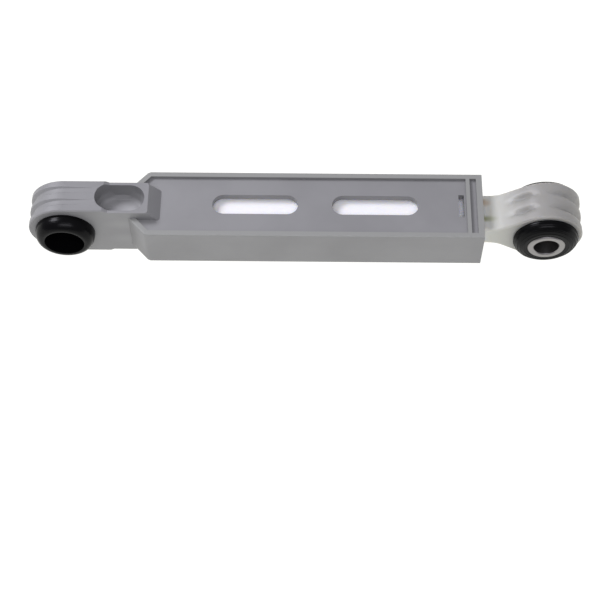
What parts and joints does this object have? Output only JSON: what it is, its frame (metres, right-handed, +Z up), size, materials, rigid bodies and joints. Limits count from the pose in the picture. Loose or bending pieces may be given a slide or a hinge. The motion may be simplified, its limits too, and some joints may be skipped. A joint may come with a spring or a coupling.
{
  "type": "washing machine shock absorber",
  "caption": "Telescopic friction damper: slotted rectangular plastic housing, sliding plunger and rubber-bushed mounting eyes at both ends.",
  "frame": {"origin": "centre of the housing eye's bush bore", "axes": "+X from the housing eye to the plunger eye, +Y along the eye bores, +Z up from the flat side that the damper lies on"},
  "size_m": [0.2132, 0.029, 0.0282],
  "materials": {
    "housing_plastic": "grey moulded polypropylene, fine satin texture",
    "plunger_plastic": "natural translucent white polyamide, satin",
    "bush_rubber": "black moulded rubber, slightly glossy",
    "sleeve_steel": "turned steel, zinc plated",
    "lining_foam": "greased open-cell polyurethane foam",
    "guide_plastic": "white acetal, smooth"
  },
  "bodies": {
    "housing_side": {"housing": "housing_plastic", "housing_bush": "bush_rubber", "guide_block_front": "guide_plastic", "guide_block_rear": "guide_plastic"},
    "plunger_side": {"plunger": "plunger_plastic", "plunger_bush": "bush_rubber", "bush_sleeve": "sleeve_steel", "friction_lining_front": "lining_foam", "friction_lining_rear": "lining_foam"}
  },
  "joints": [
    {"name": "plunger_slide", "type": "slide", "parent": "housing_side", "child": "plunger_side", "axis": [1, 0, 0], "range_m": [0, 0.075]}
  ]
}
